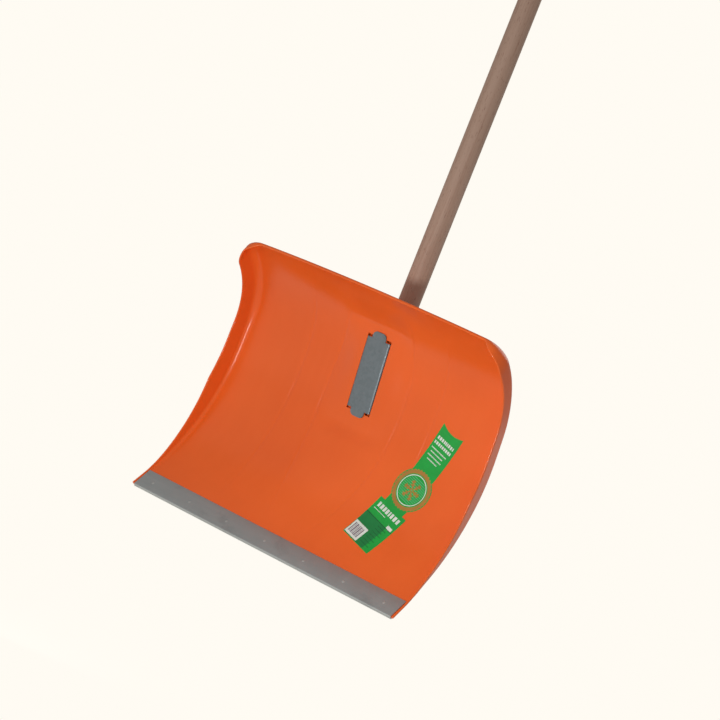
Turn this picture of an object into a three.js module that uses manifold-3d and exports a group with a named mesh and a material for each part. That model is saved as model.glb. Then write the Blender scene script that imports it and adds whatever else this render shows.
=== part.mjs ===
// Snow shovel: a moulded plastic scoop blade with a metal wear edge, clamped to a round wooden handle
// by a bent steel bracket and two cross bolts. Millimetres, +Z up along the handle, the scoop opens
// towards -Y, +X is to the right of someone who looks into the scoop.
// The shovel is modelled with the cutting edge at z = 0 and lowered at the end, so that the origin
// is the centre of the handle's top end.
import * as THREE from 'three';
import { mergeVertices } from 'three/addons/utils/BufferGeometryUtils.js';
import Module from 'manifold-3d';

const wasm = await Module();
wasm.setup();

// ---- Driving dimensions ----
const GAP = 0.3;                    // between pieces that touch
const DEG = Math.PI / 180;

// Blade, as a flat sheet before it is bent: x across, s up along the face from the cutting edge
const BLADE_THICKNESS = 3;
const HALF_WIDTH_BOTTOM = 278;
const HALF_WIDTH_TOP = 268;
const CORNER_X = 24;                // half axes of the top corners, inside the rim
const CORNER_S = 36;
const TOP_ARCH = 16;                // the top edge is this much lower at its ends

// Side view of the face: straight lip, wide arc, short flat, top curl. Angles are from the handle
const LIP_LENGTH = 42;
const LIP_ANGLE = 45 * DEG;
const MAIN_RADIUS = 325;
const FLAT_ANGLE = -2 * DEG;
const FLAT_LENGTH = 35;
const CURL_RADIUS = 150;
const CURL_LENGTH = 189;
const FACE_TO_HANDLE_AXIS = 18.5;   // from the deepest line of the face to the handle's axis

// Rim: the side walls, turned forwards; they run out round the top corners
const RIM_RADIUS = 6;
const RIM_RADIUS_TOP = 14;
const RIM_WIDENING = [230, 450];
const WALL_HEIGHT = 33;
const WALL_START = 25;
const WALL_RISE = 205;
const WALL_FLARE = Math.tan(8.5 * DEG);
const WALL_LOWEST = 1.2;

// Ribs on the back of the blade, two on each side
const RIB_THICKNESS = 2.8;
const RIB_END_HEIGHT = 0.6;
const BOWED_RIB = { from: 62, to: 478, height: 9, x: 77, bow: 42, middle: 300, halfSpan: 256 };
const STRAIGHT_RIB = { from: 62, to: 470, height: 8, x: 138 };

// Handle
const HANDLE_RADIUS = 18;
const HANDLE_BOTTOM = 260;
const HANDLE_TOP = 1500;
const HANDLE_SIDES = 32;
const FOOT_CHAMFER = 2.5;
const TOP_ROUNDING = 7;

// Flat pad for the clamp, leaning forwards at the top
const PAD_BOTTOM = 241;
const PAD_DEPTH = 19.6;             // from the handle's axis to the pad's lower end
const PAD_LEAN = 8.8 * DEG;
const PAD_HALF_WIDTH = 28;
const PAD_BLEND_HALF_WIDTH = 77;
const PAD_RANGE = [232, 270, 436, 487];
const PAD_DEEPEST = 8;

// Seat of the handle and socket of the clamp, moulded on the back of the blade
const SEAT_HALF_WIDTH = 20.6;
const SEAT_FOOT = 17;               // how far the seat reaches below the handle's end
const SEAT_FLOOR_BACK = 12;
const SEAT_EDGE_Y = -9;
const SEAT_TOP = 392;
const SOCKET_HALF_WIDTH = 27;
const SOCKET_MARGIN = 5;
const BORE_CLEARANCE = 0.5;

// Clamp bracket
const PLATE_THICKNESS = 2;
const PLATE_HALF_WIDTH = 23.4;
const PLATE_LENGTH = 143;
const TONGUE_LENGTH = 12;
const TONGUE_HALF_WIDTH = 13.5;
const TONGUE_CORNER = 8;
const BEND_RADIUS = 3;
const FLANGE_BACK = 11;             // how far behind the handle's axis the flanges reach
const FLANGE_STOCK = 80;            // their depth before they are cut off there
const SLOT_INNER = 20.9;
const SLOT_OUTER = 24;
const NOTCH_INNER = 14;
const SLOT_END = 4;                 // how far each slot reaches past the flange that stands in it
const NOTCH_DEPTH = 7;              // of the slots' blind ends, which reach further inwards

// Cross bolts, M6
const BOLT_HEIGHTS = [296, 356];
const BOLT_RADIUS = 3;
const BOLT_HOLE_RADIUS = 3.35;
const BOLT_HOLE_REACH = 40;
const BOLT_PAST_NUT = 3;
const HEX_RADIUS = 5.77;
const WASHER_SIDES = 20;
const HEAD_THICKNESS = 4;
const NUT_THICKNESS = 5;
const WASHER_RADIUS = 6.2;
const WASHER_THICKNESS = 1.6;

// Wear edge and rivets
const EDGE_SHEET = 1.5;
const EDGE_FRONT = 37;
const EDGE_BACK = 26;
const EDGE_HALF_LENGTH = 273;
const RIVET_COUNT = 7;
const RIVET_PITCH = 82;
const RIVET_S = 16;
const RIVET_RADIUS = 2.4;
const RIVET_HOLE_LENGTH = 24;
const RIVET_HEAD_RADIUS = 4.8;
const RIVET_HEAD_HEIGHT = 1.8;
const RIVET_HEAD_RIM = 0.4;
const RIVET_CROWN = { radius: 0.6, height: 0.85 };  // shares of the head's radius and height

// Label, a foil sticker: two rectangles and a disc on one slanting centre line
const LABEL_FOOT = { x: 124.5, s: 91.5 };
const LABEL_HEAD = { x: 180.5, s: 321.5 };
const LABEL_SKEW = 0.055;           // its cross edges fall off to the right
const LABEL_BLOCK = { halfWidth: 33, length: 82 };
const LABEL_RIBBON_HALF_WIDTH = 23;
const LABEL_DISC = { across: 2, along: 122, radius: 36 };
const LABEL_CUTTER_REACH = 200;
const LABEL_CLEARANCE = 0.6;
const LABEL_MARGIN = { left: 60, right: 50, foot: 30, head: 20 };  // of the foil before it is cut out
const LABEL_THICKNESS = 0.5;

// ---- Face of the blade ----
const arcStart = LIP_LENGTH;
const flatStart = arcStart + MAIN_RADIUS * (LIP_ANGLE - FLAT_ANGLE);
const curlStart = flatStart + FLAT_LENGTH;
const faceLength = curlStart + CURL_LENGTH;

function arcStep(angle, turned, radius) {
  return {
    y: radius * (Math.cos(angle - turned) - Math.cos(angle)),
    z: radius * (Math.sin(angle) - Math.sin(angle - turned)),
  };
}

// Place and slope of the face at the distance s up from the cutting edge, with y = 0 at that edge
function rawSection(s) {
  const lip = Math.min(s, arcStart);
  const arc = Math.min(Math.max(s - arcStart, 0), flatStart - arcStart) / MAIN_RADIUS;
  const flat = Math.min(Math.max(s - flatStart, 0), FLAT_LENGTH);
  const curl = Math.min(Math.max(s - curlStart, 0), CURL_LENGTH) / CURL_RADIUS;
  const past = Math.max(s - faceLength, 0);
  const angle = LIP_ANGLE - arc - curl;
  const main = arcStep(LIP_ANGLE, arc, MAIN_RADIUS);
  const top = arcStep(FLAT_ANGLE, curl, CURL_RADIUS);
  return {
    y: lip * Math.sin(LIP_ANGLE) + main.y + flat * Math.sin(FLAT_ANGLE) + top.y + past * Math.sin(angle),
    z: lip * Math.cos(LIP_ANGLE) + main.z + flat * Math.cos(FLAT_ANGLE) + top.z + past * Math.cos(angle),
    angle,
  };
}

const deepestY = rawSection(arcStart + MAIN_RADIUS * LIP_ANGLE).y;

function section(s) {
  const raw = rawSection(s);
  return { y: raw.y - deepestY - FACE_TO_HANDLE_AXIS, z: raw.z, angle: raw.angle };
}

const smooth = (from, to, value) => THREE.MathUtils.smoothstep(value, from, to);
const padY = (z) => -PAD_DEPTH - Math.tan(PAD_LEAN) * (z - PAD_BOTTOM);

// How far the pad moves the face backwards at x, s
function padShift(x, s) {
  const [rise, start, end, fall] = PAD_RANGE;
  const across = 1 - smooth(PAD_HALF_WIDTH, PAD_BLEND_HALF_WIDTH, Math.abs(x));
  const along = smooth(rise, start, s) * (1 - smooth(end, fall, s));
  const { y, z } = section(s);
  return across * along * Math.min(padY(z) - y, PAD_DEEPEST);
}

// A point of the blade: h is the height in front of the face, square to it
function facePoint(x, s, h) {
  const { y, z, angle } = section(s);
  return [x, y + padShift(x, s) - h * Math.cos(angle), z + h * Math.sin(angle)];
}

const halfWidth = (s) => THREE.MathUtils.lerp(HALF_WIDTH_BOTTOM, HALF_WIDTH_TOP, s / faceLength);

// Height of the rim at s; turn goes from 0 on the sides, round the corner, to 1 at the top
function rimHeight(s, turn) {
  const wall = WALL_HEIGHT * THREE.MathUtils.clamp((s - WALL_START) / WALL_RISE, 0, 1);
  return Math.max(WALL_LOWEST, wall * (1 - smooth(0, 1, turn)));
}

// ---- Helpers for solids ----
function geometryOf(positions, indices) {
  const geometry = new THREE.BufferGeometry();
  geometry.setAttribute('position', new THREE.Float32BufferAttribute(positions, 3));
  geometry.setIndex(indices);
  return geometry;
}

// A closed solid between two sheets of points with the same quads; the rims of the sheets are joined
function thickSheet(front, back, quads) {
  const count = front.length;
  const indices = [];
  const open = new Map();
  for (const [a, b, c, d] of quads) {
    indices.push(a, b, c, a, c, d);
    indices.push(count + a, count + c, count + b, count + a, count + d, count + c);
    for (const [p, q] of [[a, b], [b, c], [c, d], [d, a]]) {
      if (open.has(`${q},${p}`)) open.delete(`${q},${p}`);
      else open.set(`${p},${q}`, [p, q]);
    }
  }
  for (const [p, q] of open.values()) {
    indices.push(p, count + p, q, q, count + p, count + q);
  }
  return geometryOf([...front, ...back].flat(), indices);
}

function gridQuads(columns, rows) {
  const quads = [];
  for (let j = 0; j + 1 < rows; j += 1) {
    for (let i = 0; i + 1 < columns; i += 1) {
      const corner = j * columns + i;
      quads.push([corner, corner + 1, corner + columns + 1, corner + columns]);
    }
  }
  return quads;
}

function solid(geometry) {
  const bare = geometry.clone();
  bare.deleteAttribute('normal');
  bare.deleteAttribute('uv');
  const merged = mergeVertices(bare, 1e-4);
  return new wasm.Manifold(new wasm.Mesh({
    numProp: 3,
    vertProperties: new Float32Array(merged.attributes.position.array),
    triVerts: new Uint32Array(merged.index.array),
  }));
}

function toGeometry(manifold) {
  const mesh = manifold.getMesh();
  return geometryOf(Array.from(mesh.vertProperties), Array.from(mesh.triVerts));
}

function box(low, high) {
  const size = high.map((value, k) => value - low[k]);
  const centre = high.map((value, k) => (value + low[k]) / 2);
  return new THREE.BoxGeometry(...size).translate(...centre);
}

// A cylinder round a cross bolt's axis, from one x to the other
function crossCylinder(radius, from, to, z, sides = 16) {
  return new THREE.CylinderGeometry(radius, radius, Math.abs(to - from), sides)
    .rotateZ(Math.PI / 2)
    .translate((from + to) / 2, 0, z);
}

const boltHole = (z) => solid(crossCylinder(BOLT_HOLE_RADIUS, -BOLT_HOLE_REACH, BOLT_HOLE_REACH, z));

// ---- Blade ----
const FIXED_COLUMNS = [0, 28, 52, 77, 108, 138, 170, 202];
const FIXED_ROWS = [
  0, 21, 42, 71, 100, 129, 158, 187, 216, 244, 270, 307, 343, 363, 382, 400, 417, 434, 450, 467,
];
const CORNER_STEPS = [0, 0.25, 0.5, 0.75, 1];
const RIM_STEPS = 3;
const FILLET_SHARE = 0.7;

// The rim's inner radius grows towards the top; a low rim has a smaller one
const filletRadius = (s, height) => Math.min(
  THREE.MathUtils.lerp(RIM_RADIUS, RIM_RADIUS_TOP, smooth(...RIM_WIDENING, s)),
  FILLET_SHARE * height,
);

// Nodes of the face inside the rim, on a grid whose top corners are rounded
function bladeGrid() {
  const half = FIXED_COLUMNS.length + CORNER_STEPS.length - 1;
  const rows = FIXED_ROWS.length + CORNER_STEPS.length;
  const nodes = [];
  for (let j = 0; j < rows; j += 1) {
    for (let i = -half; i <= half; i += 1) {
      nodes.push(gridNode(Math.abs(i), j, Math.sign(i)));
    }
  }
  return { nodes, columns: 2 * half + 1, rows };
}

function gridNode(column, row, side) {
  const cornerColumn = column - FIXED_COLUMNS.length;
  const cornerRow = row - FIXED_ROWS.length;
  const p = cornerColumn >= 0 ? CORNER_STEPS[cornerColumn] : 0;
  const q = cornerRow >= 0 ? CORNER_STEPS[cornerRow] : 0;
  const topInner = faceLength - BLADE_THICKNESS - FILLET_SHARE * WALL_LOWEST;
  const s0 = cornerRow >= 0 ? topInner - CORNER_S : FIXED_ROWS[row];
  const s = s0 + CORNER_S * q * Math.sqrt(1 - p * p / 2);
  const rim = filletRadius(s, rimHeight(s, 0)) + BLADE_THICKNESS;
  const x0 = cornerColumn >= 0 ? halfWidth(s) - rim - CORNER_X : FIXED_COLUMNS[column];
  const x = x0 + CORNER_X * p * Math.sqrt(1 - q * q / 2);
  const arch = TOP_ARCH * (x / HALF_WIDTH_TOP) ** 2 * smooth(curlStart, faceLength, s);
  const outward = new THREE.Vector2(side * p / CORNER_X, q / CORNER_S);
  return { x: side * x, s: s - arch, outward };
}

// Indices of the grid's nodes along the right side, the top and the left side
function rimLoop(columns, rows) {
  const loop = [];
  for (let j = 0; j < rows; j += 1) loop.push(j * columns + columns - 1);
  for (let i = columns - 2; i >= 0; i -= 1) loop.push((rows - 1) * columns + i);
  for (let j = rows - 2; j >= 0; j -= 1) loop.push(j * columns);
  return loop;
}

// Section of the rim at step k: out and up from its foot, for the front and the back of the sheet
function rimProfile(s, height, k) {
  const fillet = filletRadius(s, height);
  const angle = Math.min(k / RIM_STEPS, 1) * Math.PI / 2;
  const wall = k > RIM_STEPS ? height - fillet : 0;
  const at = (radius) => [
    radius * Math.sin(angle) + wall * WALL_FLARE,
    fillet - radius * Math.cos(angle) + wall,
  ];
  return { front: at(fillet), back: at(fillet + BLADE_THICKNESS) };
}

function bladeShell() {
  const { nodes, columns, rows } = bladeGrid();
  const front = nodes.map((node) => facePoint(node.x, node.s, 0));
  const back = nodes.map((node) => facePoint(node.x, node.s, -BLADE_THICKNESS));
  const quads = gridQuads(columns, rows);
  let foot = rimLoop(columns, rows);
  const base = foot.map((index) => nodes[index]);
  for (let k = 1; k <= RIM_STEPS + 1; k += 1) {
    const next = [];
    for (const node of base) {
      const along = node.outward.clone().normalize();
      const turn = Math.atan2(along.y, Math.abs(along.x)) / (Math.PI / 2);
      const profile = rimProfile(node.s, rimHeight(node.s, turn), k);
      const place = ([out, up]) => facePoint(node.x + along.x * out, node.s + along.y * out, up);
      next.push(front.length);
      front.push(place(profile.front));
      back.push(place(profile.back));
    }
    for (let n = 0; n + 1 < foot.length; n += 1) {
      quads.push([foot[n + 1], foot[n], next[n], next[n + 1]]);
    }
    foot = next;
  }
  return thickSheet(front, back, quads);
}

// Stiffening rib on the back of the blade, with its centre line's x as a function of s
function rib(centre, { from, to, height }) {
  const steps = 14;
  const front = [];
  const back = [];
  for (let j = 0; j <= steps; j += 1) {
    const s = THREE.MathUtils.lerp(from, to, j / steps);
    const rise = Math.sqrt(Math.sin(Math.PI * j / steps));
    const depth = BLADE_THICKNESS + THREE.MathUtils.lerp(RIB_END_HEIGHT, height, rise);
    for (const x of [centre(s) - RIB_THICKNESS / 2, centre(s) + RIB_THICKNESS / 2]) {
      front.push(facePoint(x, s, -BLADE_THICKNESS / 2));
      back.push(facePoint(x, s, -depth));
    }
  }
  return thickSheet(front, back, gridQuads(2, steps + 1));
}

const bowedRib = (side) => (s) => {
  const { x, bow, middle, halfSpan } = BOWED_RIB;
  return side * (x - bow * ((s - middle) / halfSpan) ** 2);
};
const straightRib = (side) => () => side * STRAIGHT_RIB.x;

// Trough on the back of the blade in which the front of the handle lies, with a floor under its end
function handleSeat() {
  const bottom = HANDLE_BOTTOM - SEAT_FOOT;
  const sunk = BLADE_THICKNESS / 2;
  const outline = new THREE.Shape();
  outline.moveTo(padY(bottom) + sunk, bottom);
  outline.lineTo(SEAT_FLOOR_BACK, bottom);
  outline.lineTo(SEAT_FLOOR_BACK, HANDLE_BOTTOM - GAP);
  outline.lineTo(SEAT_EDGE_Y, HANDLE_BOTTOM + SEAT_FLOOR_BACK);
  outline.lineTo(SEAT_EDGE_Y, SEAT_TOP - SEAT_FLOOR_BACK);
  outline.lineTo(padY(SEAT_TOP) + sunk, SEAT_TOP);
  outline.closePath();
  return alongX(outline, -SEAT_HALF_WIDTH, SEAT_HALF_WIDTH);
}

// Block on both sides of the seat, through which the clamp's flanges pass
function clampSocket() {
  const sunk = BLADE_THICKNESS / 2;
  const bottom = PAD_BOTTOM + SOCKET_MARGIN;
  const top = PAD_BOTTOM + PLATE_LENGTH * Math.cos(PAD_LEAN) - SOCKET_MARGIN;
  const outline = new THREE.Shape();
  outline.moveTo(padY(bottom) + sunk, bottom);
  outline.lineTo(SEAT_EDGE_Y, bottom);
  outline.lineTo(SEAT_EDGE_Y, top);
  outline.lineTo(padY(top) + sunk, top);
  outline.closePath();
  return alongX(outline, -SOCKET_HALF_WIDTH, SOCKET_HALF_WIDTH);
}

// A (y, z) outline extruded from one x to the other
function alongX(outline, from, to) {
  const geometry = new THREE.ExtrudeGeometry(outline, { depth: to - from, bevelEnabled: false, steps: 1 });
  const turn = new THREE.Matrix4().set(0, 0, 1, from, 1, 0, 0, 0, 0, 1, 0, 0, 0, 0, 0, 1);
  return geometry.applyMatrix4(turn);
}

// Carries (x, along the pad, out in front of the pad) to the blade's frame
function padMatrix() {
  const up = new THREE.Vector3(0, -Math.sin(PAD_LEAN), Math.cos(PAD_LEAN));
  const out = new THREE.Vector3(0, -Math.cos(PAD_LEAN), -Math.sin(PAD_LEAN));
  return new THREE.Matrix4()
    .makeBasis(new THREE.Vector3(1, 0, 0), up, out)
    .setPosition(0, padY(PAD_BOTTOM), PAD_BOTTOM);
}

// A slot for a flange: open to the back where the flange stands, blind at both ends
function bracketSlot(side) {
  const cutter = (inner, from, to, depth) => solid(box(
    [Math.min(side * inner, side * SLOT_OUTER), from, -depth],
    [Math.max(side * inner, side * SLOT_OUTER), to, BEND_RADIUS],
  ).applyMatrix4(padMatrix()));
  const from = TONGUE_LENGTH - GAP;
  const to = PLATE_LENGTH - TONGUE_LENGTH + GAP;
  return cutter(SLOT_INNER, from, to, 2 * SOCKET_HALF_WIDTH)
    .add(cutter(NOTCH_INNER, from - SLOT_END, from, NOTCH_DEPTH))
    .add(cutter(NOTCH_INNER, to, to + SLOT_END, NOTCH_DEPTH));
}

// Frame of a rivet: local Y runs out of the face at the rivet's height
function rivetMatrix(x) {
  const { y, z } = section(RIVET_S);
  return new THREE.Matrix4()
    .makeRotationX(Math.PI - LIP_ANGLE)
    .setPosition(x, y, z);
}

const rivetPlaces = Array.from({ length: RIVET_COUNT }, (_, k) => (k - (RIVET_COUNT - 1) / 2) * RIVET_PITCH);

function rivetHole(x) {
  const radius = RIVET_RADIUS + GAP;
  const hole = new THREE.CylinderGeometry(radius, radius, RIVET_HOLE_LENGTH, 12);
  return solid(hole.applyMatrix4(rivetMatrix(x)));
}

function blade() {
  let body = solid(bladeShell());
  for (const side of [-1, 1]) {
    body = body.add(solid(rib(bowedRib(side), BOWED_RIB)));
    body = body.add(solid(rib(straightRib(side), STRAIGHT_RIB)));
  }
  body = body.add(solid(handleSeat())).add(solid(clampSocket()));
  const boreRadius = HANDLE_RADIUS + BORE_CLEARANCE;
  const boreLength = 2 * (SEAT_TOP - HANDLE_BOTTOM);
  const bore = new THREE.CylinderGeometry(boreRadius, boreRadius, boreLength, HANDLE_SIDES)
    .rotateX(Math.PI / 2)
    .translate(0, 0, HANDLE_BOTTOM - GAP + boreLength / 2);
  body = body.subtract(solid(bore));
  for (const side of [-1, 1]) body = body.subtract(bracketSlot(side));
  for (const x of rivetPlaces) body = body.subtract(rivetHole(x));
  return toGeometry(body);
}

// ---- Wear edge and rivets ----
function wearEdge() {
  const back = BLADE_THICKNESS + GAP;
  const profile = [
    [GAP, EDGE_FRONT], [GAP, -GAP], [-back, -GAP], [-back, EDGE_BACK],
    [-back - EDGE_SHEET, EDGE_BACK], [-back - EDGE_SHEET, -GAP - EDGE_SHEET],
    [GAP + EDGE_SHEET, -GAP - EDGE_SHEET], [GAP + EDGE_SHEET, EDGE_FRONT],
  ];
  const start = section(0);
  const outline = new THREE.Shape(profile.map(([out, s]) => new THREE.Vector2(
    start.y + s * Math.sin(LIP_ANGLE) - out * Math.cos(LIP_ANGLE),
    start.z + s * Math.cos(LIP_ANGLE) + out * Math.sin(LIP_ANGLE),
  )));
  let strip = solid(alongX(outline, -EDGE_HALF_LENGTH, EDGE_HALF_LENGTH));
  for (const x of rivetPlaces) strip = strip.subtract(rivetHole(x));
  return toGeometry(strip);
}

function rivet(x) {
  const front = GAP + EDGE_SHEET;
  const seat = -BLADE_THICKNESS - 2 * GAP - EDGE_SHEET;
  const points = [
    new THREE.Vector2(0, seat - RIVET_HEAD_HEIGHT),
    new THREE.Vector2(RIVET_HEAD_RADIUS * RIVET_CROWN.radius, seat - RIVET_HEAD_HEIGHT * RIVET_CROWN.height),
    new THREE.Vector2(RIVET_HEAD_RADIUS, seat - RIVET_HEAD_RIM),
    new THREE.Vector2(RIVET_HEAD_RADIUS, seat),
    new THREE.Vector2(RIVET_RADIUS, seat),
    new THREE.Vector2(RIVET_RADIUS, front),
    new THREE.Vector2(0, front),
  ];
  return new THREE.LatheGeometry(points, 12).applyMatrix4(rivetMatrix(x));
}

// ---- Handle ----
function handle() {
  const points = [
    new THREE.Vector2(0, HANDLE_BOTTOM),
    new THREE.Vector2(HANDLE_RADIUS - FOOT_CHAMFER, HANDLE_BOTTOM),
    new THREE.Vector2(HANDLE_RADIUS, HANDLE_BOTTOM + FOOT_CHAMFER),
    new THREE.Vector2(HANDLE_RADIUS, HANDLE_TOP - TOP_ROUNDING),
  ];
  for (const angle of [30, 60, 90]) {
    points.push(new THREE.Vector2(
      HANDLE_RADIUS - TOP_ROUNDING * (1 - Math.cos(angle * DEG)),
      HANDLE_TOP - TOP_ROUNDING * (1 - Math.sin(angle * DEG)),
    ));
  }
  points.push(new THREE.Vector2(0, HANDLE_TOP));
  let stick = solid(new THREE.LatheGeometry(points, HANDLE_SIDES).rotateX(Math.PI / 2));
  for (const z of BOLT_HEIGHTS) {
    stick = stick.subtract(boltHole(z));
  }
  return toGeometry(stick);
}

// ---- Clamp bracket ----
function tongueOutline(direction, root) {
  const corner = TONGUE_CORNER;
  const tip = root + direction * TONGUE_LENGTH;
  const start = root - direction * BEND_RADIUS;
  const shape = new THREE.Shape();
  shape.moveTo(-TONGUE_HALF_WIDTH, start);
  shape.lineTo(TONGUE_HALF_WIDTH, start);
  shape.lineTo(TONGUE_HALF_WIDTH, tip - direction * corner);
  shape.quadraticCurveTo(TONGUE_HALF_WIDTH, tip, TONGUE_HALF_WIDTH - corner, tip);
  shape.lineTo(corner - TONGUE_HALF_WIDTH, tip);
  shape.quadraticCurveTo(-TONGUE_HALF_WIDTH, tip, -TONGUE_HALF_WIDTH, tip - direction * corner);
  shape.closePath();
  return shape;
}

function clampBracket() {
  const front = GAP + PLATE_THICKNESS;
  const w = PLATE_HALF_WIDTH;
  const inner = w - PLATE_THICKNESS;
  const r = BEND_RADIUS;
  const deep = -FLANGE_STOCK;
  const channel = new THREE.Shape();
  channel.moveTo(-w, deep);
  channel.lineTo(-w, front - r);
  channel.absarc(-w + r, front - r, r, Math.PI, Math.PI / 2, true);
  channel.absarc(w - r, front - r, r, Math.PI / 2, 0, true);
  channel.lineTo(w, deep);
  channel.lineTo(inner, deep);
  channel.absarc(w - r, front - r, r - PLATE_THICKNESS, 0, Math.PI / 2, false);
  channel.absarc(-w + r, front - r, r - PLATE_THICKNESS, Math.PI / 2, Math.PI, false);
  channel.lineTo(-inner, deep);
  channel.closePath();
  const length = PLATE_LENGTH - 2 * TONGUE_LENGTH;
  const bar = new THREE.ExtrudeGeometry(channel, { depth: length, bevelEnabled: false, curveSegments: 4 });
  // The outline's (x, out) plane is turned so that the bar runs up along the pad
  const lay = new THREE.Matrix4().set(1, 0, 0, 0, 0, 0, 1, TONGUE_LENGTH, 0, 1, 0, 0, 0, 0, 0, 1);
  const flipped = mirrored(bar.applyMatrix4(lay));
  let bracket = solid(flipped.applyMatrix4(padMatrix()));
  for (const [direction, root] of [[-1, TONGUE_LENGTH], [1, PLATE_LENGTH - TONGUE_LENGTH]]) {
    const outline = tongueOutline(direction, root);
    const options = { depth: PLATE_THICKNESS, bevelEnabled: false, curveSegments: 5 };
    const tongue = new THREE.ExtrudeGeometry(outline, options);
    bracket = bracket.add(solid(tongue.translate(0, 0, GAP).applyMatrix4(padMatrix())));
  }
  const behind = box([-FLANGE_STOCK, FLANGE_BACK, 0], [FLANGE_STOCK, FLANGE_BACK + FLANGE_STOCK, HANDLE_TOP]);
  bracket = bracket.subtract(solid(behind));
  for (const z of BOLT_HEIGHTS) {
    bracket = bracket.subtract(boltHole(z));
  }
  return toGeometry(bracket);
}

// Turns the triangles over after a matrix that mirrors
function mirrored(geometry) {
  const bare = geometry.clone();
  bare.deleteAttribute('normal');
  bare.deleteAttribute('uv');
  const merged = mergeVertices(bare, 1e-4);
  const indices = Array.from(merged.index.array);
  for (let k = 0; k < indices.length; k += 3) {
    [indices[k + 1], indices[k + 2]] = [indices[k + 2], indices[k + 1]];
  }
  merged.setIndex(indices);
  return merged;
}

// ---- Bolts, nuts and washers ----
const washerOuter = PLATE_HALF_WIDTH + GAP + WASHER_THICKNESS;

function bolt(z) {
  const seat = washerOuter + GAP;
  const head = solid(crossCylinder(HEX_RADIUS, seat, seat + HEAD_THICKNESS, z, 6));
  const end = -(seat + NUT_THICKNESS + BOLT_PAST_NUT);
  const shank = solid(crossCylinder(BOLT_RADIUS, seat + HEAD_THICKNESS / 2, end, z));
  return toGeometry(head.add(shank));
}

function ring(radius, from, to, z, sides) {
  return toGeometry(solid(crossCylinder(radius, from, to, z, sides)).subtract(boltHole(z)));
}

const washer = (side, z) => {
  const [from, to] = [PLATE_HALF_WIDTH + GAP, washerOuter].map((x) => side * x).sort((a, b) => a - b);
  return ring(WASHER_RADIUS, from, to, z, WASHER_SIDES);
};

const nut = (z) => ring(HEX_RADIUS, -(washerOuter + GAP + NUT_THICKNESS), -(washerOuter + GAP), z, 6);

// ---- Label ----
// Flat outline of the label as three upright bodies, with y along its centre line
function labelShape() {
  const axis = new THREE.Vector2(LABEL_HEAD.x - LABEL_FOOT.x, LABEL_HEAD.s - LABEL_FOOT.s);
  const length = axis.length();
  const { halfWidth: blockHalf, length: blockLength } = LABEL_BLOCK;
  const { across, along, radius } = LABEL_DISC;
  const reach = LABEL_CUTTER_REACH;
  const ribbonHalf = LABEL_RIBBON_HALF_WIDTH;
  const block = box([-blockHalf, 0, -reach], [blockHalf, blockLength, reach]);
  const ribbon = box([-ribbonHalf, blockLength / 2, -reach], [ribbonHalf, length, reach]);
  const disc = new THREE.CylinderGeometry(radius, radius, 2 * reach, 28)
    .rotateX(Math.PI / 2)
    .translate(across, along, 0);
  return { solids: [block, ribbon, disc], slant: -Math.atan2(axis.x, axis.y), length };
}

// Foil on the face, cut to the label's outline
function frontLabel() {
  const { solids, slant, length } = labelShape();
  const { left, right, foot, head } = LABEL_MARGIN;
  const columns = 5;
  const rows = 13;
  const front = [];
  const back = [];
  for (let j = 0; j < rows; j += 1) {
    for (let i = 0; i < columns; i += 1) {
      const x = THREE.MathUtils.lerp(LABEL_FOOT.x - left, LABEL_HEAD.x + right, i / (columns - 1));
      const s = THREE.MathUtils.lerp(LABEL_FOOT.s - foot, LABEL_FOOT.s + length + head, j / (rows - 1));
      front.push(facePoint(x, s, LABEL_CLEARANCE + LABEL_THICKNESS));
      back.push(facePoint(x, s, LABEL_CLEARANCE));
    }
  }
  const foil = solid(thickSheet(front, back, gridQuads(columns, rows)));
  const low = section(LABEL_FOOT.s);
  const high = section(LABEL_HEAD.s);
  const lean = Math.atan2(high.y - low.y, high.z - low.z);
  const place = new THREE.Matrix4()
    .makeTranslation(LABEL_FOOT.x, low.y, low.z)
    .multiply(new THREE.Matrix4().makeRotationX(Math.PI / 2 - lean))
    .multiply(new THREE.Matrix4().makeRotationZ(slant))
    .multiply(new THREE.Matrix4().makeShear(-LABEL_SKEW, 0, 0, 0, 0, 0));
  const [first, ...others] = solids.map((geometry) => solid(geometry.applyMatrix4(place)));
  const cutter = others.reduce((sum, piece) => sum.add(piece), first);
  return toGeometry(foil.intersect(cutter));
}

// ---- Assembly ----
const orange = { color: 0xd9602c, roughness: 0.42, metalness: 0 };
const aluminium = { color: 0x8f8f8a, roughness: 0.45, metalness: 0.9 };
const zincSteel = { color: 0x6f7a7c, roughness: 0.4, metalness: 0.9 };
const beech = { color: 0xa8836c, roughness: 0.6, metalness: 0 };
const greenFoil = { color: 0x24964a, roughness: 0.35, metalness: 0 };

const shovel = new THREE.Group();

function addPiece(name, geometry, look) {
  const mesh = new THREE.Mesh(geometry, new THREE.MeshStandardMaterial(look));
  mesh.name = name;
  shovel.add(mesh);
}

addPiece('blade', blade(), orange);
addPiece('wear_edge', wearEdge(), aluminium);
for (const [k, x] of rivetPlaces.entries()) addPiece(`edge_rivet_${k + 1}`, rivet(x), aluminium);
addPiece('handle', handle(), beech);
addPiece('clamp_bracket', clampBracket(), zincSteel);
for (const [k, z] of BOLT_HEIGHTS.entries()) {
  addPiece(`clamp_bolt_${k + 1}`, bolt(z), zincSteel);
  addPiece(`clamp_nut_${k + 1}`, nut(z), zincSteel);
  addPiece(`head_washer_${k + 1}`, washer(1, z), zincSteel);
  addPiece(`nut_washer_${k + 1}`, washer(-1, z), zincSteel);
}
addPiece('front_label', frontLabel(), greenFoil);

shovel.position.z = -HANDLE_TOP;
const group = new THREE.Group();
group.add(shovel);

export default group;
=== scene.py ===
import math
import random

import bmesh
import bpy
from mathutils import Matrix, Vector, noise


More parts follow.
